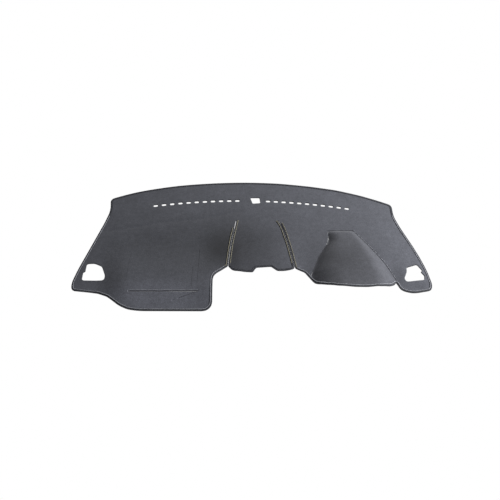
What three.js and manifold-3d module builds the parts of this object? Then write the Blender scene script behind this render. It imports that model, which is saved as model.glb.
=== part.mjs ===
// Dashboard cover mat for a right-hand-drive car, lying on a flat floor.
// One felted cloth is cut to its outline, slit either side of the centre flap and punched for
// the demister vents. A hood for the instrument cluster is sewn in, and tape binds the edges.
// Millimetres, +Z up, +X along the mat's length, +Y towards the windscreen edge.
import * as THREE from 'three';
import { LoftGeometry } from 'three/addons/geometries/LoftGeometry.js';
import { mergeVertices } from 'three/addons/utils/BufferGeometryUtils.js';
import Module from 'manifold-3d';

const wasm = await Module();
wasm.setup();

// Cloth and tape thickness, and the play that sewn pieces keep between them
const clothThickness = 4.5;
const tapeThickness = 0.8;
const tapeWidth = 8;
const sewingPlay = 0.6;

// Punched vent slots, a row either side of the sensor opening, on one arc across the mat
const slotLength = 19;
const slotWidth = 12.5;
const slotCornerRadius = 4.5;
const slotsPerRow = 11;
const slotArcRadius = 2300;
const slotArcCrown = [-3, 243];
const slotArcTurn = -0.021;
const slotRows = [
  { firstX: -429, pitch: 36.4 },
  { firstX: 73, pitch: 34.9 },
];

// The airbag's tear slit, across the front of the passenger side
const airbagSlitCentre = [-352, -275];
const airbagSlitLength = 275;
const airbagSlitWidth = 1.6;

// Width of the cut either side of the centre flap, between the two cloth edges
const flapCutWidth = 3.4;

// Middle lines of the two flap cuts from the front up, as [x, y, corner radius]
const leftFlapCut = [[-98.5, -139, 0], [-88, -5, 900], [-68, 122, 0]];
const rightFlapCut = [[176.5, -148, 0], [160, -37, 700], [141, 53, 260], [128, 98, 50], [115, 121, 0]];

// Outline corners, counter-clockwise, as [x, y, corner radius]
const rightFront = [
  [217, -165, 22],
  [259, -229, 26],
  [318, -262, 160],
  [376, -277, 240],
  [482, -279, 240],
  [534, -264, 90],
  [572, -234, 24],
  [583, -217, 3],
  [599, -255, 26],
  [642, -272, 70],
  [721, -256, 20],
];
const rightSide = [
  [726, -226, 30],
  [716, -160, 320],
  [690, -55, 520],
  [640, 83, 400],
  [622, 148, 90],
  [622, 213, 24],
];
const rearEdge = [
  [534, 256, 700],
  [429, 294, 900],
  [322, 323, 1100],
  [158, 346, 1100],
  [62, 356, 1100],
  [-120, 357, 1100],
  [-337, 338, 1100],
  [-525, 296, 800],
  [-634, 251, 22],
];
const leftSide = [
  [-625, 182, 90],
  [-642, 105, 260],
  [-680, -30, 900],
  [-716, -158, 500],
  [-729, -222, 60],
  [-724, -257, 18],
];
const leftFront = [
  [-640, -267, 260],
  [-594, -277, 100],
  [-510, -343, 80],
  [-452, -355, 160],
  [-158, -356, 38],
  [-160, -193, 46],
];
const flapFront = [
  [-80, -159, 26],
  [-36, -166, 120],
  [3, -168, 9.5],
  [17, -144, 10],
  [79, -139, 12],
  [104, -161, 14],
  [142, -161, 60],
];
const cornerAtCut = 9.5;

// Openings punched through the cloth, as [x, y, corner radius]
const sensorOpening = [[-7, 262, 4], [4, 226, 4], [38, 229, 4], [34, 262, 4]];
const leftCornerOpening = [
  [-684, -120, 9],
  [-684, -160, 3],
  [-692, -167, 4],
  [-692, -206, 10],
  [-600, -208, 10],
  [-600, -184, 24],
  [-620, -134, 18],
  [-652, -118, 30],
];
const rightCornerOpening = [
  [635, -145, 9],
  [634, -166, 30],
  [619, -200, 10],
  [625, -217, 10],
  [699, -208, 9],
  [701, -186, 8],
  [690, -169, 2],
  [697, -160, 4],
  [680, -128, 7],
];

// The instrument hood: where it is sewn into the mat, from its front left corner round the
// back to its front right corner. It widens from the back seam to the driver's edge.
const hoodSeam = [
  [243, -200, 0],
  [245, -168, 60],
  [281, -78, 120],
  [327, 0, 60],
  [328, 62, 12],
  [437, 62, 16],
  [494, -24, 260],
  [551, -116, 400],
  [586, -213, 0],
];
const hoodHeight = 55;
const hoodBackStep = 9;
const hoodBackStepLength = 20;
const hoodFlankShare = 0.2;
const hoodFootShare = 0.16;
const hoodLeftShoulder = 0.8;
const hoodRightShoulder = 0.3;

// Gentle swells that the cloth keeps from its dashboard, each flat on top between two lines
// in x and y and dying away over the stated lengths. Elsewhere the mat lies on the floor.
const swells = [
  { height: 24, x: [-500, -190], y: [-242, -242], left: 140, right: 120, front: 118, back: 260 },
  { height: 8, x: [-95, -95], y: [-110, -60], left: 110, right: 90, front: 130, back: 150 },
  { height: 7, x: [-40, 150], y: [-165, -165], left: 60, right: 80, front: 100, back: 200 },
  { height: 8, x: [640, 670], y: [-190, -190], left: 70, right: 80, front: 75, back: 150 },
];

// Facets: round corners by angle and length, and the draped cloth by how far it may cut short
const cornerFacetAngle = 30;
const longestArcFacet = 110;
const clothSag = 0.5;
const hoodSag = 0.55;
const tapeSag = 0.2;
const shortestFacet = 4;
const mostRefinements = 12;

// Samples a line of corners, each rounded by a tangent arc of its own radius
function roundedLine(corners, closed) {
  const count = corners.length;
  const points = [];
  corners.forEach(([x, y, radius], index) => {
    const corner = new THREE.Vector2(x, y);
    const isEnd = !closed && (index === 0 || index === count - 1);
    if (isEnd || radius === 0) {
      points.push(corner);
      return;
    }
    const before = new THREE.Vector2(...corners[(index + count - 1) % count]).sub(corner);
    const after = new THREE.Vector2(...corners[(index + 1) % count]).sub(corner);
    const turn = Math.PI - before.angleTo(after);
    const half = turn / 2;
    const room = 0.48 * Math.min(before.length(), after.length());
    const tangent = Math.min(radius * Math.tan(half), room);
    const arcRadius = tangent / Math.tan(half);
    const towards = before.clone().normalize().add(after.clone().normalize()).normalize();
    const centre = corner.clone().addScaledVector(towards, arcRadius / Math.cos(half));
    const start = corner.clone().addScaledVector(before.normalize(), tangent).sub(centre);
    const clockwise = before.cross(after) > 0;
    const sweep = clockwise ? -turn : turn;
    const byAngle = turn / THREE.MathUtils.degToRad(cornerFacetAngle);
    const byLength = (arcRadius * turn) / longestArcFacet;
    const steps = Math.max(1, Math.ceil(Math.max(byAngle, byLength)));
    const arc = new THREE.EllipseCurve(
      centre.x, centre.y, arcRadius, arcRadius, start.angle(), start.angle() + sweep, clockwise);
    points.push(...arc.getPoints(steps));
  });
  return points;
}

// Moves a sampled line to its left by a distance, keeping its sides parallel
function offsetLine(points, distance, closed = false) {
  const count = points.length;
  return points.map((point, index) => {
    const hasBefore = closed || index > 0;
    const hasAfter = closed || index < count - 1;
    const before = hasBefore ? points[(index + count - 1) % count] : point;
    const after = hasAfter ? points[(index + 1) % count] : point;
    const entering = (hasBefore ? point.clone().sub(before) : after.clone().sub(point)).normalize();
    const leaving = (hasAfter ? after.clone().sub(point) : point.clone().sub(before)).normalize();
    const along = entering.clone().add(leaving).normalize();
    const mitre = Math.max(along.dot(entering), 0.5);
    return new THREE.Vector2(
      point.x - (along.y * distance) / mitre,
      point.y + (along.x * distance) / mitre);
  });
}

// The corner list of one side of a flap cut, given from the front up
function cutSide(cut, distance) {
  const middle = cut.map(([x, y]) => new THREE.Vector2(x, y));
  return offsetLine(middle, distance).map((point, index) => {
    const radius = index === 0 ? cornerAtCut : cut[index][2];
    return [point.x, point.y, radius];
  });
}

// The two edges that are bound, each run with the cloth on its left. The outer run goes from
// the top of the right flap cut round the mat to the top of the left one, and the flap run
// goes round the centre flap between the same two places.
const halfCut = flapCutWidth / 2;
const outerEdge = roundedLine([
  ...cutSide(rightFlapCut, -halfCut).reverse(),
  ...rightFront,
  ...rightSide,
  ...rearEdge,
  ...leftSide,
  ...leftFront,
  ...cutSide(leftFlapCut, halfCut),
], false);
const flapEdge = roundedLine([
  ...cutSide(leftFlapCut, -halfCut).reverse(),
  ...flapFront,
  ...cutSide(rightFlapCut, halfCut),
], false);

// A band along a bound edge, between two distances in from it
function edgeBand(edge, from, to) {
  return [...offsetLine(edge, from), ...offsetLine(edge, to).reverse()];
}

// A round-ended or round-cornered slot, turned in the plane
function slotOutline([x, y], length, width, radius, turn = 0) {
  const ends = [[-1, -1], [1, -1], [1, 1], [-1, 1]];
  const corners = ends.map(([sx, sy]) => {
    const corner = new THREE.Vector2((sx * length) / 2, (sy * width) / 2);
    corner.rotateAround(new THREE.Vector2(), turn);
    return [x + corner.x, y + corner.y, radius];
  });
  return roundedLine(corners, true);
}

function ventSlots() {
  const [crownX, crownY] = slotArcCrown;
  return slotRows.flatMap(({ firstX, pitch }) => Array.from({ length: slotsPerRow }, (_, index) => {
    const x = firstX + index * pitch;
    const across = x - crownX;
    const y = crownY - (across * across) / (2 * slotArcRadius) + across * slotArcTurn;
    const turn = slotArcTurn - across / slotArcRadius;
    return slotOutline([x, y], slotLength, slotWidth, slotCornerRadius, turn);
  }));
}

// Fall of a swell from 1 at its top to 0 at its foot
function fall(distance, length) {
  const share = Math.min(Math.abs(distance) / length, 1);
  return Math.cos((Math.PI * share) / 2) ** 2;
}

function fallOutside(value, [low, high], below, above) {
  if (value < low) return fall(low - value, below);
  if (value > high) return fall(value - high, above);
  return 1;
}

function swellHeight(x, y) {
  return swells.reduce((sum, swell) => {
    const across = fallOutside(x, swell.x, swell.left, swell.right);
    const along = fallOutside(y, swell.y, swell.front, swell.back);
    return sum + swell.height * across * along;
  }, 0);
}

// X of the hood's sewn side at a given y, on its left or right half
const hoodBackY = hoodSeam[4][1];
const hoodFrontY = rightFront[4][1];
const hoodLeftSide = hoodSeam.slice(0, 5);
const hoodRightSide = hoodSeam.slice(5).reverse();

function sideAt(side, y) {
  const upper = side.findIndex((corner) => corner[1] > y);
  if (upper === 0) return side[0][0];
  const [x1, y1] = side[upper];
  const [x0, y0] = side[upper - 1];
  return x0 + ((x1 - x0) * (y - y0)) / (y1 - y0);
}

// Straight rise to 1 with a rounded foot, and a rounded shoulder of a given softness
function flankRise(fromSeam, softness) {
  const isFoot = fromSeam < hoodFootShare;
  const share = isFoot ? fromSeam ** 2 / (2 * hoodFootShare) : fromSeam - hoodFootShare / 2;
  if (share < 1 - softness) return share;
  if (share < 1 + softness) return share - (share - 1 + softness) ** 2 / (4 * softness);
  return 1;
}

// The hood is a half cone: it starts low at its back seam and opens towards the driver
function hoodRise(x, y) {
  if (y >= hoodBackY) return 0;
  const left = sideAt(hoodLeftSide, y);
  const right = sideAt(hoodRightSide, y);
  const share = (x - left) / (right - left);
  if (share <= 0 || share >= 1) return 0;
  const fromBack = hoodBackY - y;
  const depth = hoodBackY - hoodFrontY;
  const step = hoodBackStep * Math.min(fromBack / hoodBackStepLength, 1);
  const crest = step + (hoodHeight - hoodBackStep) * (fromBack / depth) ** 0.9;
  const leftFlank = flankRise(share / hoodFlankShare, hoodLeftShoulder);
  const rightFlank = flankRise((1 - share) / hoodFlankShare, hoodRightShoulder);
  return crest * leftFlank * rightFlank;
}

function clothHeight(x, y) {
  return swellHeight(x, y) + hoodRise(x, y);
}

// Height of a flat point once the cloth is draped. On a slope the height is stretched, so that
// the cloth keeps its thickness measured square to itself.
function drapedHeight({ x, y, z }) {
  const probe = 3;
  const slopeX = (clothHeight(x + probe, y) - clothHeight(x - probe, y)) / (2 * probe);
  const slopeY = (clothHeight(x, y + probe) - clothHeight(x, y - probe)) / (2 * probe);
  return clothHeight(x, y) + z * Math.hypot(1, slopeX, slopeY);
}

function draped(point) {
  return new THREE.Vector3(point.x, point.y, drapedHeight(point));
}

// How far a straight line between two flat points would pass from the draped cloth
function sag(from, to) {
  const middle = from.clone().lerp(to, 0.5);
  return Math.abs(drapedHeight(middle) - (drapedHeight(from) + drapedHeight(to)) / 2);
}

// Splits the triangles of a flat piece until none of their edges cuts short across a bend.
// A triangle that is split is split at its longest edge too, which keeps the facets full.
function refined({ points, triangles }, sagLimit) {
  const keyOf = ([a, b]) => (a < b ? `${a} ${b}` : `${b} ${a}`);
  const lengthOf = ([a, b]) => points[a].distanceTo(points[b]);
  const edgesOf = ([a, b, c]) => [[a, b], [b, c], [c, a]];
  const longestOf = (edges) => edges.reduce((best, edge) => (
    lengthOf(edge) > lengthOf(best) ? edge : best));
  const bends = (edge) => {
    if (lengthOf(edge) < 2 * shortestFacet) return false;
    const [from, to] = edge.map((index) => points[index]);
    const middle = from.clone().lerp(to, 0.5);
    return [[from, to], [from, middle], [middle, to]].some((span) => sag(...span) > sagLimit);
  };
  let split = triangles;
  for (let pass = 0; pass < mostRefinements; pass += 1) {
    const middles = new Map();
    split.forEach((triangle) => {
      edgesOf(triangle).filter(bends).forEach((edge) => middles.set(keyOf(edge), -1));
    });
    if (middles.size === 0) break;
    for (let marked = 0; marked < middles.size;) {
      marked = middles.size;
      split.forEach((triangle) => {
        const edges = edgesOf(triangle);
        const touched = edges.some((edge) => middles.has(keyOf(edge)));
        if (touched) middles.set(keyOf(longestOf(edges)), -1);
      });
    }
    const middleOf = ([a, b]) => {
      const key = keyOf([a, b]);
      if (middles.get(key) === -1) {
        middles.set(key, points.length);
        points.push(points[a].clone().lerp(points[b], 0.5));
      }
      return middles.get(key);
    };
    split = split.flatMap((triangle) => {
      const marked = edgesOf(triangle).filter((edge) => middles.has(keyOf(edge)));
      if (marked.length === 0) return [triangle];
      const ring = edgesOf(triangle).flatMap((edge) => (
        middles.has(keyOf(edge)) ? [edge[0], middleOf(edge)] : [edge[0]]));
      const first = ring.indexOf(middleOf(longestOf(marked)));
      const fan = [...ring.slice(first), ...ring.slice(0, first)];
      return fan.slice(1, -1).map((point, index) => [fan[0], point, fan[index + 2]]);
    });
  }
  return { points, triangles: split };
}

function withoutExtras(geometry) {
  geometry.deleteAttribute('normal');
  geometry.deleteAttribute('uv');
  return mergeVertices(geometry, 1e-4);
}

function solidOf(geometry) {
  const merged = withoutExtras(geometry);
  const vertProperties = new Float32Array(merged.attributes.position.array);
  const triVerts = new Uint32Array(merged.index.array);
  return new wasm.Manifold(new wasm.Mesh({ numProp: 3, vertProperties, triVerts }));
}

function geometryOf(solid) {
  const { vertProperties, triVerts } = solid.getMesh();
  const geometry = new THREE.BufferGeometry();
  geometry.setAttribute('position', new THREE.BufferAttribute(vertProperties, 3));
  geometry.setIndex(new THREE.BufferAttribute(triVerts, 1));
  return geometry;
}

// Everything within a plane outline from one height to another, with holes left open
function plate(outline, low, high, holes = []) {
  const shape = new THREE.Shape(outline);
  shape.holes = holes.map((hole) => new THREE.Path(hole));
  const geometry = new THREE.ExtrudeGeometry(shape, { depth: high - low, bevelEnabled: false });
  geometry.translate(0, 0, low);
  return solidOf(geometry);
}

// The flat cloth. Its underside is pressed in along the edges, so that the tape lies flush.
const seatDepth = tapeThickness + sewingPlay;
const seatWidth = tapeWidth + sewingPlay;
const reach = 1;

function flatCloth() {
  const holes = [
    ...ventSlots(),
    roundedLine(sensorOpening, true),
    roundedLine(leftCornerOpening, true),
    roundedLine(rightCornerOpening, true),
    slotOutline(airbagSlitCentre, airbagSlitLength, airbagSlitWidth, airbagSlitWidth / 2),
  ];
  const whole = plate([...outerEdge, ...flapEdge], 0, clothThickness, holes);
  return [outerEdge, flapEdge].reduce((rest, edge) => (
    rest.subtract(plate(edgeBand(edge, -reach, seatWidth), -reach, seatDepth))), whole);
}

// The hood's outline, carried forward past the mat's front edge so that it cuts right through
function hoodCutter(grown) {
  const moved = offsetLine(roundedLine(hoodSeam, false), grown);
  const start = moved[0];
  const end = moved[moved.length - 1];
  const frontY = hoodFrontY - hoodHeight;
  const outline = [new THREE.Vector2(start.x, frontY), ...moved, new THREE.Vector2(end.x, frontY)];
  return plate(outline.reverse(), -reach, clothThickness + reach);
}

// Tape folded over an edge: a strip under the cloth, the fold, and a strip over it
function flatBinding(edge) {
  const top = clothThickness + seatDepth;
  const outside = offsetLine(edge, -seatDepth);
  const fold = offsetLine(edge, -sewingPlay);
  const inside = offsetLine(edge, tapeWidth);
  const at = (line, index, height) => new THREE.Vector3(line[index].x, line[index].y, height);
  const sections = edge.map((_, index) => [
    at(outside, index, 0),
    at(inside, index, 0),
    at(inside, index, tapeThickness),
    at(fold, index, tapeThickness),
    at(fold, index, top - tapeThickness),
    at(inside, index, top - tapeThickness),
    at(inside, index, top),
    at(outside, index, top),
  ]);
  const loft = new LoftGeometry(sections, { capStart: true, capEnd: true });
  return withoutExtras(new THREE.BufferGeometry().copy(loft));
}

function surface(color, roughness) {
  return new THREE.MeshStandardMaterial({ color, roughness, metalness: 0 });
}

// Drapes a flat piece and names it
function drapedMesh(name, flat, sagLimit, material) {
  const position = flat.attributes.position;
  const points = Array.from({ length: position.count }, (_, index) => (
    new THREE.Vector3().fromBufferAttribute(position, index)));
  const index = Array.from(flat.index.array);
  const triangles = Array.from({ length: index.length / 3 }, (_, face) => (
    index.slice(3 * face, 3 * face + 3)));
  const fine = refined({ points, triangles }, sagLimit);
  const geometry = new THREE.BufferGeometry().setFromPoints(fine.points.map(draped));
  geometry.setIndex(fine.triangles.flat());
  geometry.computeVertexNormals();
  const mesh = new THREE.Mesh(geometry, material);
  mesh.name = name;
  return mesh;
}

const feltGrey = surface(0x55565c, 0.95);
const hoodGrey = surface(0x505157, 0.95);
const tapeGrey = surface(0x2e2f33, 0.8);

const cloth = flatCloth();
const panel = geometryOf(cloth.subtract(hoodCutter(sewingPlay)));
const hood = geometryOf(cloth.intersect(hoodCutter(0)));
const mat = new THREE.Group();
mat.add(drapedMesh('mat_panel', panel, clothSag, feltGrey));
mat.add(drapedMesh('instrument_hood', hood, hoodSag, hoodGrey));
mat.add(drapedMesh('edge_binding', flatBinding(outerEdge), tapeSag, tapeGrey));
mat.add(drapedMesh('flap_binding', flatBinding(flapEdge), tapeSag, tapeGrey));

// The origin is under the middle of the mat's box, on the floor
const extent = new THREE.Box3().setFromObject(mat, true);
const middle = extent.getCenter(new THREE.Vector3());
mat.position.set(-middle.x, -middle.y, 0);

export default mat;
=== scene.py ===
"""Looks for the dashboard cover mat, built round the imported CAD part.

The cloth, the hood and the tapes take their plan outlines from the CAD nodes and their heights
from the same relief as the CAD part, and add soft edges, stitching, a crease and materials.
Places on the mat are in mm in the outline's own coordinates, and meshes are in metres."""
import math

import bpy
import numpy as np
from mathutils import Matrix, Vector, kdtree
from mathutils.geometry import delaunay_2d_cdt


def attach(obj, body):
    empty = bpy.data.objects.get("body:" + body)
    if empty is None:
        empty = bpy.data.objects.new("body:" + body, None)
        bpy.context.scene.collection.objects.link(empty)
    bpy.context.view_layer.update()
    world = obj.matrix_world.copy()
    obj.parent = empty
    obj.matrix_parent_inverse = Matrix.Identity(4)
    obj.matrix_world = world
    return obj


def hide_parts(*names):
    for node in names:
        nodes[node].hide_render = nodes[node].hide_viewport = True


MM = 0.001
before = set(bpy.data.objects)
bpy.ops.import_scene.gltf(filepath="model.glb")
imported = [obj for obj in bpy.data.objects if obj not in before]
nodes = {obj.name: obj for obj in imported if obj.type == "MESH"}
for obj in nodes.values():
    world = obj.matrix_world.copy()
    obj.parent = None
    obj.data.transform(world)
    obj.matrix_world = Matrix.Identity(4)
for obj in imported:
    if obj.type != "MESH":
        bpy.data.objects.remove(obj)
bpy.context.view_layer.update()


# From the outline's own coordinates to the mat's frame
SHIFT_X = 1.125
SHIFT_Y = -0.425

# Swells of the cloth, each level between two places in x and in y, with the length of its fall
# on each side
SWELLS = (
    {"height": 24, "x": (-500, -190), "y": (-242, -242),
     "left": 140, "right": 120, "front": 118, "back": 260},
    {"height": 8, "x": (-95, -95), "y": (-110, -60),
     "left": 110, "right": 90, "front": 130, "back": 150},
    {"height": 7, "x": (-40, 150), "y": (-165, -165),
     "left": 60, "right": 80, "front": 100, "back": 200},
    {"height": 8, "x": (640, 670), "y": (-190, -190),
     "left": 70, "right": 80, "front": 75, "back": 150},
)

# The instrument hood: its sewn sides from the front back, and the shape of its rise
HOOD_LEFT = ((243, -200), (245, -168), (281, -78), (327, 0), (328, 62))
HOOD_RIGHT = ((586, -213), (551, -116), (494, -24), (437, 62))
HOOD_BACK_Y = 62
HOOD_FRONT_Y = -279
HOOD_HEIGHT = 55
HOOD_STEP = 9
HOOD_STEP_LENGTH = 20
HOOD_SWELL = 0.9
HOOD_FLANK = 0.2
HOOD_FOOT = 0.16
LEFT_SHOULDER = 0.8
RIGHT_SHOULDER = 0.3

# Broad patches of painted shade and painted light on the cloth, as places, half widths and change
# in tone
PAINTED_LIGHT_AND_SHADE = (
    {"x": -330, "y": -20, "wide": 260, "deep": 150, "change": -0.3},
    {"x": -110, "y": -40, "wide": 110, "deep": 150, "change": -0.62},
    {"x": 30, "y": -40, "wide": 120, "deep": 150, "change": -0.3},
    {"x": -400, "y": -305, "wide": 230, "deep": 70, "change": 0.75},
    {"x": 340, "y": -130, "wide": 90, "deep": 130, "change": -0.3},
    {"x": 420, "y": -110, "wide": 100, "deep": 150, "change": -0.25},
    {"x": 640, "y": -100, "wide": 140, "deep": 260, "change": 0.12},
)

# A soft crease across the rear left of the cloth's upper face
CREASE = ((-639, 61), (-575, 68), (-534, 77), (-378, 114), (-226, 130), (-51, 179))
CREASE_DEPTH = 1.8
CREASE_WIDTH = 9
CREASED_ABOVE = 2

# Cloth: thickness, unevenness, how far each kind of edge is pressed down, and the heights of an
# edge's middle and foot
CLOTH = 4.5
RIPPLE = 0.25
PUNCHED_PRESS = 1.7
BOUND_PRESS = 0.7
SEWN_PRESS = 0.35
EDGE_MIDDLE = 1.6
EDGE_LIFT = 0.35

# Tape: how far it stands out past the cloth, its width and sway, the seat that it presses under
# the cloth, and how near its line a cloth edge counts as bound
TAPE_OUT = 1.4
TAPE_WIDTH = 8
TAPE_SWAY = 0.3
TAPE_SWAY_PACE = 3
SEAT_HEIGHT = 1.0
SEAT_WIDTH = 9
SEAT_LINES = (8.4, 9.6)
BOUND_REACH = 3

# Rings of points inside each cloth edge, and the spacing of points
EDGE_LINES = (1.1, 3.0)
EDGE_LINE_CLEAR = 0.8
EDGE_SPACING = 5
SEAM_SPACING = 3
BOUND_SPACING = 1.5
GRID = 7
GRID_ROW = 0.866
GRID_CLEAR = 0.42

# Stitches on the bindings: distance in from the cloth's edge, height over its underside, pitch
# and length
SEAM_IN = 6
SEAM_HEIGHT = 5.9
SEAM_PITCH = 3.4
SEAM_STITCH = 3.6

# Where the stitches beside the flap's cuts, along the rear and round the flap begin and end
CUTS_MIDDLE_X = 38
CUTS_HALF_WIDTH = 150
CUTS_HALF_DEPTH = 145
REAR_Y = 150
FLAP_FRONT_Y = -125
FLAP_SPLIT_X = 40

# What a vertex of the cloth lies on
OUTLINE, HOLE, INSIDE = 0, 1, 2


# The relief

def fall(distance, length):
    return np.cos(np.pi / 2 * np.minimum(np.abs(distance) / length, 1)) ** 2


def fall_outside(value, flat, below, above):
    low, high = flat
    past = np.where(value > high, fall(value - high, above), 1.0)
    return np.where(value < low, fall(low - value, below), past)


def side_at(side, y):
    xs = [corner[0] for corner in side]
    ys = [corner[1] for corner in side]
    return np.interp(y, ys, xs)


def flank(share, softness):
    """Straight rise to 1 with a rounded foot and a rounded shoulder of a given softness."""
    rise = np.where(share < HOOD_FOOT, share**2 / (2 * HOOD_FOOT), share - HOOD_FOOT / 2)
    over = rise - 1 + softness
    bent = rise - over**2 / (4 * softness)
    return np.where(over < 0, rise, np.where(rise < 1 + softness, bent, 1.0))


def hood_rise(x, y):
    left = side_at(HOOD_LEFT, y)
    right = side_at(HOOD_RIGHT, y)
    share = (x - left) / (right - left)
    inside = (y < HOOD_BACK_Y) & (share > 0) & (share < 1)
    share = np.clip(share, 0, 1)
    from_back = np.maximum(HOOD_BACK_Y - y, 0)
    step = HOOD_STEP * np.minimum(from_back / HOOD_STEP_LENGTH, 1)
    depth = HOOD_BACK_Y - HOOD_FRONT_Y
    crest = step + (HOOD_HEIGHT - HOOD_STEP) * (from_back / depth) ** HOOD_SWELL
    rise = crest * flank(share / HOOD_FLANK, LEFT_SHOULDER)
    rise = rise * flank((1 - share) / HOOD_FLANK, RIGHT_SHOULDER)
    return np.where(inside, rise, 0)


def relief(x, y):
    """Height of the cloth's underside."""
    height = hood_rise(x, y)
    for swell in SWELLS:
        across = fall_outside(x, swell["x"], swell["left"], swell["right"])
        along = fall_outside(y, swell["y"], swell["front"], swell["back"])
        height = height + swell["height"] * across * along
    return height


def drape(x, y, z):
    """Height of a flat point once the cloth is draped, stretched on slopes."""
    probe = 3
    slope_x = (relief(x + probe, y) - relief(x - probe, y)) / (2 * probe)
    slope_y = (relief(x, y + probe) - relief(x, y - probe)) / (2 * probe)
    stretch = np.sqrt(1 + slope_x**2 + slope_y**2)
    return relief(x, y) + z * stretch


def distance_to_line(x, y, line):
    best = np.full(np.shape(x), 1e9)
    for (x0, y0), (x1, y1) in zip(line, line[1:]):
        run_x, run_y = x1 - x0, y1 - y0
        along = ((x - x0) * run_x + (y - y0) * run_y) / (run_x**2 + run_y**2)
        along = np.clip(along, 0, 1)
        best = np.minimum(best, np.hypot(x - x0 - along * run_x, y - y0 - along * run_y))
    return best


def to_frame(flat_points, z):
    """Flat points with their flat heights, draped and moved to the frame, in metres."""
    flat_points = np.asarray(flat_points, float)
    z = np.asarray(z, float)
    x, y = flat_points[:, 0], flat_points[:, 1]
    crease = CREASE_DEPTH * np.exp(-((distance_to_line(x, y, CREASE) / CREASE_WIDTH) ** 2))
    height = drape(x, y, z) - np.where(z > CREASED_ABOVE, crease, 0)
    return np.column_stack([x + SHIFT_X, y + SHIFT_Y, height]) * MM


def unevenness(x, y):
    """A soft unevenness of the cloth and tape, from -1 to 1."""
    first = math.sin(x / 31 + math.sin(y / 47) * 2)
    second = math.sin(y / 23 + math.sin(x / 61) * 3)
    return (first + second) / 2


def shading_paint_at(flat):
    """Painted light and shade at flat points, as a tone from a few soft patches."""
    tone = np.ones(len(flat))
    for patch in PAINTED_LIGHT_AND_SHADE:
        across = (flat[:, 0] - patch["x"]) / patch["wide"]
        along = (flat[:, 1] - patch["y"]) / patch["deep"]
        tone = tone * (1 + patch["change"] * np.exp(-(across**2) - along**2))
    return tone


# Flat lines and loops

def top_loops(node):
    """Closed boundary loops of a CAD node's upper faces, as flat points."""
    least_upward = 0.3
    mesh = node.data
    places = []
    for vertex in mesh.vertices:
        x, y = vertex.co.x / MM - SHIFT_X, vertex.co.y / MM - SHIFT_Y
        places.append((round(x, 2), round(y, 2)))
    edges = {}
    for face in mesh.polygons:
        if face.normal.z < least_upward:
            continue
        ring = [places[index] for index in face.vertices]
        for start, end in zip(ring, ring[1:] + ring[:1]):
            if start != end:
                edges[(start, end)] = True
    following = {}
    for start, end in edges:
        if (end, start) not in edges:
            following.setdefault(start, []).append(end)
    loops = []
    while following:
        start = next(iter(following))
        loop = [start]
        while following.get(loop[-1]):
            ends = following[loop[-1]]
            point = ends.pop()
            if not ends:
                del following[loop[-1]]
            if point == start:
                break
            loop.append(point)
        if len(loop) > 4:
            loops.append(np.array(loop))
    return loops


def softened(loop, closed=True):
    """Rounds every corner of a faceted line with a short curve, sharp corners least."""
    straight, gentle, sharp = 0.5, 8, 50
    side_share = 0.46
    sharp_reach = 0.8
    count = len(loop)
    points = []
    for index, corner in enumerate(loop):
        if not closed and index in (0, count - 1):
            points.append(corner)
            continue
        before = loop[index - 1] - corner
        after = loop[(index + 1) % count] - corner
        before_length, after_length = np.hypot(*before), np.hypot(*after)
        cosine = -np.dot(before, after) / (before_length * after_length)
        turn = math.degrees(math.acos(max(-1, min(1, cosine))))
        if turn < straight:
            continue
        reach = side_share * min(before_length, after_length)
        if turn > sharp:
            reach = min(reach, sharp_reach)
        start = corner + before / before_length * reach
        end = corner + after / after_length * reach
        for share in np.linspace(0, 1, 5 if turn > gentle else 3):
            rest = 1 - share
            points.append(rest**2 * start + 2 * share * rest * corner + share**2 * end)
    return np.array(points)


def resampled(points, spacing, closed=True):
    """Splits a line's long sides to about the spacing and merges points that nearly meet."""
    shortest = spacing * 0.12
    shortest_closing = spacing * 0.3
    line = list(points) + ([points[0]] if closed else [])
    result = [line[0]]
    for point in line[1:]:
        gap = point - result[-1]
        length = np.hypot(*gap)
        if length < shortest:
            continue
        steps = max(1, int(math.ceil(length / spacing)))
        start = result[-1]
        result += [start + gap * (step + 1) / steps for step in range(steps)]
    if closed and np.hypot(*(result[-1] - result[0])) < shortest_closing:
        result.pop()
    return np.array(result)


def offset(points, distance, closed=True):
    """Moves a line to its left."""
    before = np.roll(points, 1, axis=0)
    after = np.roll(points, -1, axis=0)
    if not closed:
        before[0] = points[0]
        after[-1] = points[-1]
    along = after - before
    along /= np.maximum(np.hypot(along[:, 0], along[:, 1]), 1e-9)[:, None]
    return points + np.column_stack([-along[:, 1], along[:, 0]]) * distance


def inside_loops(points, loops):
    """Even-odd test of many points against closed loops."""
    x, y = points[:, 0], points[:, 1]
    inside = np.zeros(len(points), bool)
    for loop in loops:
        for (x0, y0), (x1, y1) in zip(loop, np.roll(loop, -1, axis=0)):
            if y0 == y1:
                continue
            crosses = (y0 > y) != (y1 > y)
            inside ^= crosses & (x < (x1 - x0) * (y - y0) / (y1 - y0) + x0)
    return inside


def area_of(loop):
    following = np.roll(loop, -1, axis=0)
    return float(np.sum(loop[:, 0] * following[:, 1] - following[:, 0] * loop[:, 1]) / 2)


def tree_of(points):
    tree = kdtree.KDTree(len(points))
    for index, (x, y) in enumerate(points):
        tree.insert((x, y, 0), index)
    tree.balance()
    return tree


def distance_to_points(tree, points):
    return np.array([tree.find((x, y, 0))[2] for x, y in points])


# Materials

def add_noise(tree, vector, scale, detail):
    node = tree.nodes.new("ShaderNodeTexNoise")
    node.inputs["Scale"].default_value = scale
    node.inputs["Detail"].default_value = detail
    tree.links.new(vector, node.inputs["Vector"])
    return node.outputs["Fac"]


def add_product(tree, first, second):
    node = tree.nodes.new("ShaderNodeMath")
    node.operation = "MULTIPLY"
    tree.links.new(first, node.inputs[0])
    tree.links.new(second, node.inputs[1])
    return node.outputs["Value"]


def add_range(tree, value, low, high):
    node = tree.nodes.new("ShaderNodeMapRange")
    node.inputs["To Min"].default_value = low
    node.inputs["To Max"].default_value = high
    tree.links.new(value, node.inputs["Value"])
    return node.outputs["Result"]


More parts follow.
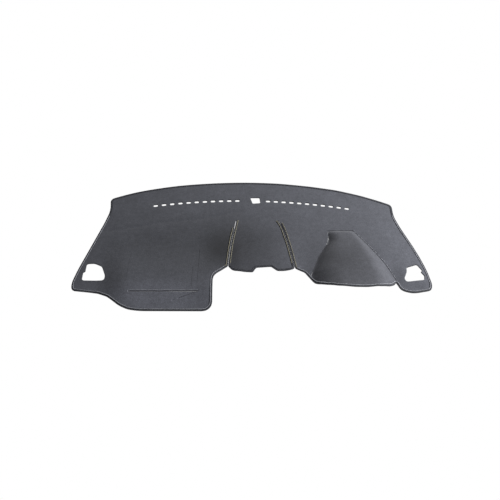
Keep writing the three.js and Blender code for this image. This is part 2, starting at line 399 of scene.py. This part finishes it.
def add_attribute(tree, name):
    node = tree.nodes.new("ShaderNodeAttribute")
    node.attribute_name = name
    return node.outputs["Fac"]


def add_toned(tree, tone):
    """A colour scaled by a tone, as the node and its result."""
    node = tree.nodes.new("ShaderNodeVectorMath")
    node.operation = "SCALE"
    tree.links.new(tone, node.inputs["Scale"])
    return node, node.outputs["Vector"]


def add_bump(tree, height, strength, distance):
    node = tree.nodes.new("ShaderNodeBump")
    node.inputs["Strength"].default_value = strength
    node.inputs["Distance"].default_value = distance
    tree.links.new(height, node.inputs["Height"])
    return node.outputs["Normal"]


def new_shader_group(name, inputs, outputs):
    """A shader group with its own named sockets, as the tree and its two ends."""
    tree = bpy.data.node_groups.new(name, "ShaderNodeTree")
    for label, kind in inputs:
        tree.interface.new_socket(label, in_out="INPUT", socket_type=kind)
    for label, kind in outputs:
        tree.interface.new_socket(label, in_out="OUTPUT", socket_type=kind)
    return tree, tree.nodes.new("NodeGroupInput"), tree.nodes.new("NodeGroupOutput")


def add_group(tree, group, **values):
    node = tree.nodes.new("ShaderNodeGroup")
    node.node_tree = group
    for label, value in values.items():
        node.inputs[label].default_value = value
    return node


def cloudy_tone_group():
    """Noise turned into a tone between two values."""
    number = "NodeSocketFloat"
    tree, source, target = new_shader_group(
        "cloudy tone",
        [("Scale", number), ("Detail", number), ("Low", number), ("High", number)],
        [("Tone", number)])
    place = tree.nodes.new("ShaderNodeTexCoord").outputs["Object"]
    clouds = tree.nodes.new("ShaderNodeTexNoise")
    spread = tree.nodes.new("ShaderNodeMapRange")
    spread.inputs["From Min"].default_value = 0.3
    spread.inputs["From Max"].default_value = 0.7
    for start, end in (
        (place, clouds.inputs["Vector"]),
        (source.outputs["Scale"], clouds.inputs["Scale"]),
        (source.outputs["Detail"], clouds.inputs["Detail"]),
        (clouds.outputs["Fac"], spread.inputs["Value"]),
        (source.outputs["Low"], spread.inputs["To Min"]),
        (source.outputs["High"], spread.inputs["To Max"]),
        (spread.outputs["Result"], target.inputs["Tone"]),
    ):
        tree.links.new(start, end)
    return tree


def felt_pile_group(cloudy_tone):
    """Needle-punched pile: clouds, tufts and grain, painted light and shade, painted shade at hole
    rims and a paler back.
    """
    colour = "NodeSocketColor"
    tree, source, target = new_shader_group(
        "felt pile", [("Pile", colour), ("Backing", colour)],
        [("Color", colour), ("Normal", "NodeSocketVector")])
    layers = [
        add_group(tree, cloudy_tone, Scale=scale, Detail=detail, Low=low, High=high).outputs["Tone"]
        for scale, detail, low, high in (
            (9, 4, 0.93, 1.07), (60, 3, 0.9, 1.1), (260, 2, 0.8, 1.2), (900, 2, 0.78, 1.22))
    ]
    clouds, patches, tufts, grain = layers
    broad = add_product(tree, clouds, patches)
    fine = add_product(tree, tufts, grain)
    # The attribute read here is painted light and shade: broad patches darken or lighten the pile
    tone = add_product(tree, add_product(tree, broad, fine), add_attribute(tree, "painted_shading"))
    # Painted shade: the rims of the punched holes are darkened down to 0.3
    painted_rim_shade = add_range(tree, add_attribute(tree, "rim"), 1.0, 0.3)
    side = tree.nodes.new("ShaderNodeMix")
    side.data_type = "RGBA"
    tree.links.new(source.outputs["Pile"], side.inputs["A"])
    tree.links.new(source.outputs["Backing"], side.inputs["B"])
    tree.links.new(add_attribute(tree, "under"), side.inputs["Factor"])
    toned, result = add_toned(tree, add_product(tree, tone, painted_rim_shade))
    tree.links.new(side.outputs["Result"], toned.inputs[0])
    tree.links.new(result, target.inputs["Color"])
    place = tree.nodes.new("ShaderNodeTexCoord").outputs["Object"]
    fibres = add_noise(tree, place, 700, 3)
    tree.links.new(add_bump(tree, fibres, 0.6, 0.0006), target.inputs["Normal"])
    return tree


def new_material(name, **values):
    """A material whose shader has these values on its own sockets."""
    material = bpy.data.materials.new(name)
    material.use_nodes = True
    shader = material.node_tree.nodes["Principled BSDF"]
    for label, value in values.items():
        shader.inputs[label.replace("_", " ")].default_value = value
    return material, material.node_tree, shader


def felt_material(name, pile, backing):
    material, tree, shader = new_material(
        name, Roughness=0.95, Specular_IOR_Level=0.2, Sheen_Weight=0.15, Sheen_Roughness=0.6)
    surface = add_group(tree, felt_pile, Pile=(*pile, 1), Backing=(*backing, 1))
    tree.links.new(surface.outputs["Color"], shader.inputs["Base Color"])
    tree.links.new(surface.outputs["Normal"], shader.inputs["Normal"])
    return material


def tape_material(name, colour):
    """Woven binding tape with a fine rib along its own length."""
    material, tree, shader = new_material(name, Roughness=0.7, Specular_IOR_Level=0.3)
    weave = tree.nodes.new("ShaderNodeTexWave")
    weave.bands_direction = "X"
    weave.inputs["Scale"].default_value = 0.4
    weave.inputs["Distortion"].default_value = 0.6
    along_tape = tree.nodes.new("ShaderNodeTexCoord").outputs["UV"]
    tree.links.new(along_tape, weave.inputs["Vector"])
    wear = add_group(tree, cloudy_tone, Scale=40, Detail=3, Low=0.9, High=1.1)
    rib = add_range(tree, weave.outputs["Fac"], 0.85, 1.1)
    toned, result = add_toned(tree, add_product(tree, wear.outputs["Tone"], rib))
    toned.inputs[0].default_value = colour
    tree.links.new(result, shader.inputs["Base Color"])
    tree.links.new(add_bump(tree, weave.outputs["Fac"], 0.5, 0.0003), shader.inputs["Normal"])
    return material


def thread_material(name, colour):
    return new_material(name, Base_Color=(*colour, 1), Roughness=0.5)[0]


cloudy_tone = cloudy_tone_group()
felt_pile = felt_pile_group(cloudy_tone)
backing_colour = (0.2, 0.19, 0.17)
felt = felt_material("felt", (0.1, 0.104, 0.123), backing_colour)
hood_felt = felt_material("hood felt", (0.097, 0.1, 0.117), backing_colour)
tape = tape_material("tape", (0.05, 0.052, 0.062))
# The pale, beige and dull threads are one seam's thread in lit and shaded tones: painted highlight
# and painted shade
thread = thread_material("thread", (0.5, 0.51, 0.56))
lit_beige_thread = thread_material("beige thread", (0.42, 0.39, 0.28))
shaded_dull_thread = thread_material("dull thread", (0.1, 0.1, 0.115))
dark_thread = thread_material("dark thread", (0.04, 0.04, 0.048))


# Plan outlines, taken from the CAD part

def cloth_loops(node):
    return [resampled(softened(loop), EDGE_SPACING) for loop in top_loops(node)]


panel_loops = cloth_loops(nodes["mat_panel"])
hood_loops = cloth_loops(nodes["instrument_hood"])


def bound_edge(node):
    """The cloth edge under a CAD binding, with the cloth on its left."""
    loop = max(top_loops(node), key=len)
    outside = ~(inside_loops(loop, panel_loops) | inside_loops(loop, hood_loops))
    # The outline is the longest run of points outside the cloth
    count = len(loop)
    runs = []
    for start in range(count):
        if outside[start] and not outside[start - 1]:
            length = next(i for i in range(count) if not outside[(start + i) % count])
            runs.append((length, start))
    length, start = max(runs)
    line = np.roll(loop, -start, axis=0)[:length]
    line = resampled(softened(line, False), EDGE_SPACING, False)
    return offset(line, TAPE_OUT, False)


outer_edge = bound_edge(nodes["edge_binding"])
flap_edge = bound_edge(nodes["flap_binding"])
bound_tree = tree_of(np.vstack([
    resampled(outer_edge, BOUND_SPACING, False),
    resampled(flap_edge, BOUND_SPACING, False),
]))


# Cloth, tape and stitches

def mesh_object(name, vertices, faces, material):
    mesh = bpy.data.meshes.new(name)
    mesh.from_pydata([tuple(vertex) for vertex in vertices], [], faces)
    mesh.validate()
    mesh.shade_smooth()
    obj = bpy.data.objects.new(name, mesh)
    bpy.context.collection.objects.link(obj)
    obj.data.materials.append(material)
    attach(obj, "root")
    return obj


def flat_cloth(loops, seat_edges):
    """Cuts a flat cloth into triangles, as its points, what each lies on, and the triangles."""
    outline = max(loops, key=lambda loop: abs(area_of(loop)))
    points = []
    kinds = []
    cut_edges = []

    def add_points(ring, kind):
        points.extend(ring)
        kinds.extend([kind] * len(ring))

    for loop in loops:
        is_outline = loop is outline
        first, count = len(points), len(loop)
        add_points(loop, OUTLINE if is_outline else HOLE)
        cut_edges.extend((first + i, first + (i + 1) % count) for i in range(count))
        cloth_on_left = (area_of(loop) > 0) == is_outline
        for reach in EDGE_LINES:
            ring = offset(loop, reach if cloth_on_left else -reach)
            clear = distance_to_points(tree_of(loop), ring) > reach * EDGE_LINE_CLEAR
            add_points(ring[clear & inside_loops(ring, loops)], INSIDE)
    for edge in seat_edges:
        for reach in SEAT_LINES:
            ring = offset(edge, reach, False)
            add_points(ring[inside_loops(ring, loops)], INSIDE)

    low, high = outline.min(axis=0), outline.max(axis=0)
    grid = np.array([
        (x + (GRID / 2 if row % 2 else 0), y)
        for row, y in enumerate(np.arange(low[1], high[1], GRID * GRID_ROW))
        for x in np.arange(low[0], high[0], GRID)
    ])
    edge_tree = tree_of(np.array(points))
    grid = grid[inside_loops(grid, loops)]
    grid = grid[distance_to_points(edge_tree, grid) > GRID * GRID_CLEAR]
    add_points(grid, INSIDE)

    flat, _, faces, origins, _, _ = delaunay_2d_cdt(
        [Vector((float(x), float(y))) for x, y in points], cut_edges, [], 0, 1e-5)
    flat = np.array([(point.x, point.y) for point in flat])
    kind = np.array([min([kinds[i] for i in origin], default=INSIDE) for origin in origins])
    faces = np.array([face for face in faces if len(face) == 3])
    faces = faces[inside_loops(flat[faces].mean(axis=1), loops)]
    used = np.unique(faces)
    renumber = np.full(len(flat), -1)
    renumber[used] = np.arange(len(used))
    flat, kind, faces = flat[used], kind[used], renumber[faces]
    first, second, third = (flat[faces[:, i]] for i in range(3))
    turned_over = np.cross(second - first, third - first) < 0
    faces = np.where(turned_over[:, None], faces[:, ::-1], faces)
    return flat, kind, faces


def cloth_sheet(name, loops, seat_edges, material):
    """A closed sheet cut to its loops, with rounded edges and the tape's seat pressed in below."""
    flat, kind, faces = flat_cloth(loops, seat_edges)
    count = len(flat)
    edges = {edge: True for a, b, c in faces for edge in ((a, b), (b, c), (c, a))}
    rim_edges = [(int(a), int(b)) for a, b in edges if (b, a) not in edges]
    on_rim = np.zeros(count, bool)
    for a, b in rim_edges:
        on_rim[a] = on_rim[b] = True
    rim_count = int(on_rim.sum())

    from_bound = distance_to_points(bound_tree, flat)
    punched = (kind == HOLE) & on_rim
    pressed = np.where(from_bound < BOUND_REACH, BOUND_PRESS, SEWN_PRESS)
    pressed = np.where(punched, PUNCHED_PRESS, pressed)
    ripple = np.array([unevenness(x, y) for x, y in flat])
    top = to_frame(flat, np.where(on_rim, CLOTH - pressed, CLOTH + RIPPLE * ripple))
    seat = np.where(from_bound < SEAT_WIDTH, SEAT_HEIGHT, 0.0)
    bottom = to_frame(flat, np.where(on_rim, np.maximum(seat, EDGE_LIFT), seat))
    middle = to_frame(flat[on_rim], np.full(rim_count, EDGE_MIDDLE))
    middle_of = {int(vertex): 2 * count + i for i, vertex in enumerate(np.flatnonzero(on_rim))}

    skin = [tuple(int(vertex) for vertex in face) for face in faces]
    skin += [tuple(int(vertex) + count for vertex in face[::-1]) for face in faces]
    for a, b in rim_edges:
        skin.append((a, middle_of[a], middle_of[b], b))
        skin.append((middle_of[a], a + count, b + count, middle_of[b]))
    obj = mesh_object(name, np.vstack([top, bottom, middle]), skin, material)

    # Painted shade on the rims of the punched holes
    painted_rim_shade = punched.astype(float)
    # Painted light and shade in broad patches over the cloth, kept as a vertex attribute
    painted_shading = shading_paint_at(flat)
    values = {
        "rim": np.concatenate([painted_rim_shade, painted_rim_shade, painted_rim_shade[on_rim]]),
        "under": np.concatenate([np.zeros(count), np.ones(count), np.zeros(rim_count)]),
        "painted_shading": np.concatenate([painted_shading, painted_shading, painted_shading[on_rim]]),
    }
    for label, value in values.items():
        attribute = obj.data.attributes.new(label, "FLOAT", "POINT")
        attribute.data.foreach_set("value", value.astype(np.float32))
    return obj


# The folded tape's section, as distance in from the cloth's edge and height, from the inner
# end of its lower strip round the fold to its upper strip, and back along the inner side
TAPE_SECTION = (
    (7.9, 0.15), (5.5, 0.05), (1.2, 0.05), (-0.7, 0.3), (-1.2, 1.2), (-1.35, 2.9),
    (-1.25, 4.5), (-0.8, 5.4), (0.6, 5.75), (3.2, 5.85), (5.2, 5.6), (6.0, 5.35),
    (6.8, 5.5), (7.8, 5.45), (8.1, 5.1), (8.0, 4.7), (5.5, 4.75), (0.9, 4.85),
    (-0.2, 4.3), (-0.5, 2.9), (-0.2, 1.3), (0.8, 0.75), (7.9, 0.7),
)


def folded_tape(name, edge, material):
    """Tape folded over a bound edge, swaying a little in width."""
    count, ring = len(edge), len(TAPE_SECTION)
    vertices = np.zeros((count, ring, 3))
    sway = np.array([unevenness(x, y) for x, y in edge * TAPE_SWAY_PACE])
    inward_step = offset(edge, 1, False) - edge
    for index, (inward, height) in enumerate(TAPE_SECTION):
        swayed = TAPE_SWAY * sway * max(0, inward) / TAPE_WIDTH
        line = offset(edge, inward, False) + inward_step * swayed[:, None]
        vertices[:, index] = to_frame(line, np.full(count, height))
    faces = []
    for step in range(count - 1):
        for index in range(ring):
            a = step * ring + index
            b = step * ring + (index + 1) % ring
            faces.append((a, b, b + ring, a + ring))
    faces.append(tuple(reversed(range(ring))))
    faces.append(tuple(range((count - 1) * ring, count * ring)))
    obj = mesh_object(name, vertices.reshape(-1, 3), faces, material)
    along = np.concatenate([[0], np.cumsum(np.hypot(*np.diff(edge, axis=0).T))])
    uv = obj.data.uv_layers.new(name="tape")
    for loop in obj.data.loops:
        step, index = divmod(loop.vertex_index, ring)
        uv.data[loop.index].uv = (along[step], index)
    return obj


def stitch_tree():
    """Geometry nodes that set thread stitches along a line, and its inputs' identifiers."""
    tree = bpy.data.node_groups.new("thread stitches", "GeometryNodeTree")
    tree.interface.new_socket("Line", in_out="INPUT", socket_type="NodeSocketGeometry")
    keys = {
        label: tree.interface.new_socket(label, in_out="INPUT", socket_type=kind).identifier
        for label, kind in (
            ("Pitch", "NodeSocketFloat"), ("Length", "NodeSocketFloat"),
            ("Radius", "NodeSocketFloat"), ("Thread", "NodeSocketMaterial"))
    }
    tree.interface.new_socket("Stitches", in_out="OUTPUT", socket_type="NodeSocketGeometry")
    source = tree.nodes.new("NodeGroupInput")
    target = tree.nodes.new("NodeGroupOutput")
    spread = tree.nodes.new("GeometryNodeCurveToPoints")
    spread.mode = "LENGTH"
    bead = tree.nodes.new("GeometryNodeMeshUVSphere")
    bead.inputs["Segments"].default_value = 6
    bead.inputs["Rings"].default_value = 4
    bead.inputs["Radius"].default_value = 1
    half = tree.nodes.new("ShaderNodeMath")
    half.operation = "MULTIPLY"
    half.inputs[1].default_value = 0.5
    extent = tree.nodes.new("ShaderNodeCombineXYZ")
    shape = tree.nodes.new("GeometryNodeTransform")
    place = tree.nodes.new("GeometryNodeInstanceOnPoints")
    real = tree.nodes.new("GeometryNodeRealizeInstances")
    paint = tree.nodes.new("GeometryNodeSetMaterial")
    for start, end in (
        (source.outputs["Line"], spread.inputs["Curve"]),
        (source.outputs["Pitch"], spread.inputs["Length"]),
        (source.outputs["Length"], half.inputs[0]),
        (source.outputs["Radius"], extent.inputs["X"]),
        (source.outputs["Radius"], extent.inputs["Y"]),
        (half.outputs["Value"], extent.inputs["Z"]),
        (bead.outputs["Mesh"], shape.inputs["Geometry"]),
        (extent.outputs["Vector"], shape.inputs["Scale"]),
        (spread.outputs["Points"], place.inputs["Points"]),
        (shape.outputs["Geometry"], place.inputs["Instance"]),
        (spread.outputs["Rotation"], place.inputs["Rotation"]),
        (place.outputs["Instances"], real.inputs["Geometry"]),
        (real.outputs["Geometry"], paint.inputs["Geometry"]),
        (source.outputs["Thread"], paint.inputs["Material"]),
        (paint.outputs["Geometry"], target.inputs["Stitches"]),
    ):
        tree.links.new(start, end)
    return tree, keys


stitches, stitch_keys = stitch_tree()


def stitch_row(name, line, height, material, pitch, length, radius):
    """A row of stitches on the cloth along a flat line, at a flat height."""
    line = resampled(np.array(line, float), SEAM_SPACING, False)
    points = to_frame(line, np.full(len(line), float(height)))
    curve = bpy.data.curves.new(name + "_line", "CURVE")
    curve.dimensions = "3D"
    spline = curve.splines.new("POLY")
    spline.points.add(len(points) - 1)
    for point, place in zip(spline.points, points):
        point.co = (*place, 1)
    guide = bpy.data.objects.new(name + "_line", curve)
    bpy.context.collection.objects.link(guide)
    modifier = guide.modifiers.new("stitches", "NODES")
    modifier.node_group = stitches
    modifier[stitch_keys["Pitch"]] = pitch * MM
    modifier[stitch_keys["Length"]] = length * MM
    modifier[stitch_keys["Radius"]] = radius * MM
    modifier[stitch_keys["Thread"]] = material
    depsgraph = bpy.context.evaluated_depsgraph_get()
    mesh = bpy.data.meshes.new_from_object(guide.evaluated_get(depsgraph))
    mesh.name = name
    mesh.shade_smooth()
    obj = bpy.data.objects.new(name, mesh)
    bpy.context.collection.objects.link(obj)
    bpy.data.objects.remove(guide)
    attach(obj, "root")
    return obj


panel = cloth_sheet("felt_panel", panel_loops, (outer_edge, flap_edge), felt)
hood = cloth_sheet("felt_hood", hood_loops, (), hood_felt)
outer_tape = folded_tape("outer_edge_tape", outer_edge, tape)
flap_tape = folded_tape("flap_edge_tape", flap_edge, tape)

# Binding stitches: pale along the front and beige beside the flap cuts, a painted highlight where
# the
# # binding catches the light, and dull along the rear and the flap's front, painted shade
outer_seam = offset(outer_edge, SEAM_IN, False)
flap_seam = offset(flap_edge, SEAM_IN, False)
beside_cut = np.abs(outer_seam[:, 0] - CUTS_MIDDLE_X) < CUTS_HALF_WIDTH
beside_cut &= np.abs(outer_seam[:, 1]) < CUTS_HALF_DEPTH
at_rear = outer_seam[:, 1] > REAR_Y
flap_front = flap_seam[:, 1] < FLAP_FRONT_Y
flap_left = ~flap_front & (flap_seam[:, 0] < FLAP_SPLIT_X)
flap_right = ~flap_front & (flap_seam[:, 0] > FLAP_SPLIT_X)


def seam_stitches(name, line, material, radius):
    return stitch_row(name, line, SEAM_HEIGHT, material, SEAM_PITCH, SEAM_STITCH, radius)


def outer_seam_stitches(name, chosen, material, radius):
    """Stitches on the chosen runs of the outer seam."""
    places = np.flatnonzero(chosen)
    runs = np.split(places, np.flatnonzero(np.diff(places) > 1) + 1)
    return [seam_stitches(f"{name}_{number}", outer_seam[run], material, radius)
            for number, run in enumerate(runs) if len(run) > 1]


binding_stitches = [
    *outer_seam_stitches("front_stitches", ~beside_cut & ~at_rear, thread, 1.3),
    *outer_seam_stitches("cut_highlight_stitches", beside_cut, lit_beige_thread, 1.3),
    *outer_seam_stitches("rear_stitches", at_rear & ~beside_cut, shaded_dull_thread, 0.4),
    seam_stitches("flap_front_stitches", flap_seam[flap_front], shaded_dull_thread, 1.1),
    seam_stitches("flap_left_stitches", flap_seam[flap_left], lit_beige_thread, 1.3),
    seam_stitches("flap_right_stitches", flap_seam[flap_right], lit_beige_thread, 1.3),
]

# The airbag's press lines in dark thread, the pale row behind its slit as a painted highlight on
# the
# # slit's lip, and the bar tack at the slit's left end, each as line, height over the cloth,
# thread,
# # pitch, length and radius
AIRBAG_ROWS = (
    ("airbag_line_1", ((-219, -262), (-219, -38)), 0.15, dark_thread, 2.6, 2.6, 0.35),
    ("airbag_line_2", ((-242, -255), (-242, -143)), 0.15, dark_thread, 2.6, 2.6, 0.35),
    ("airbag_line_3", ((-505, -50), (-506, -186), (-509, -227)), 0.15, dark_thread, 2.6, 2.4, 0.3),
    ("bar_tack", ((-494, -278), (-494, -272)), 0.3, thread, 0.8, 3.2, 0.6),
    ("slit_highlight_stitches", ((-486, -271), (-218, -271)), 0.5, thread, 4.6, 4.6, 0.9),
)
airbag_stitches = [
    stitch_row(name, line, CLOTH + above, material, pitch, length, radius)
    for name, line, above, material, pitch, length, radius in AIRBAG_ROWS
]

# The hood's seam: dark stitches along its back, painted shade in the step there, and pale ones
# along
# # its right side, a painted highlight on its lit fold
hood_rear = resampled(np.array([HOOD_LEFT[-1], HOOD_RIGHT[-1]], float), EDGE_SPACING, False)
hood_right = resampled(np.array(HOOD_RIGHT[::-1], float), EDGE_SPACING, False)
hood_stitches = [
    stitch_row("hood_rear_shade_stitches", offset(hood_rear, 2.2, False),
               CLOTH + 0.3, dark_thread, 3.2, 3.0, 0.8),
    stitch_row("hood_right_highlight_stitches", offset(hood_right, 2.4, False),
               CLOTH + 0.6, thread, 3.4, 3.2, 0.8),
]

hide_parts("mat_panel")
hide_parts("instrument_hood")
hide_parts("edge_binding")
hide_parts("flap_binding")


# Floor, light and camera

def link_new(name, data):
    obj = bpy.data.objects.new(name, data)
    bpy.context.collection.objects.link(obj)
    return obj


def aim_at(obj, place, target):
    obj.location = place
    obj.rotation_euler = (Vector(target) - Vector(place)).to_track_quat("-Z", "Y").to_euler()


FLOOR_HALF = 20
FLOOR_Z = -0.0008
floor_mesh = bpy.data.meshes.new("floor")
floor_mesh.from_pydata(
    [(x * FLOOR_HALF, y * FLOOR_HALF, FLOOR_Z) for x, y in ((-1, -1), (1, -1), (1, 1), (-1, 1))],
    [], [(0, 1, 2, 3)])
floor_mesh.materials.append(new_material(
    "floor white", Base_Color=(0, 0, 0, 1), Specular_IOR_Level=0,
    Emission_Color=(1, 1, 1, 1), Emission_Strength=1.0)[0])
floor = link_new("floor", floor_mesh)

scene = bpy.context.scene
scene.world = bpy.data.worlds.new("room")
scene.world.use_nodes = True
background = scene.world.node_tree.nodes["Background"]
background.inputs["Color"].default_value = (1, 1, 1, 1)
background.inputs["Strength"].default_value = 0.22

key = bpy.data.lights.new("key", "AREA")
key.shape = "DISK"
key.size = 1.0
key.energy = 88
aim_at(link_new("key", key), (2.3, 0.6, 1.25), (0.2, 0, 0))

CAMERA_DISTANCE = 2.8
CAMERA_HEIGHT = math.radians(50)
CAMERA_TARGET = Vector((-0.007, -0.043, 0))
camera_data = bpy.data.cameras.new("camera")
camera_data.sensor_width = 36
camera_data.lens = 47.75
camera = link_new("camera", camera_data)
towards_camera = Vector((0, -math.cos(CAMERA_HEIGHT), math.sin(CAMERA_HEIGHT)))
aim_at(camera, CAMERA_TARGET + CAMERA_DISTANCE * towards_camera, CAMERA_TARGET)
scene.camera = camera
scene.render.resolution_x = 500
scene.render.resolution_y = 500
scene.view_settings.view_transform = "Standard"
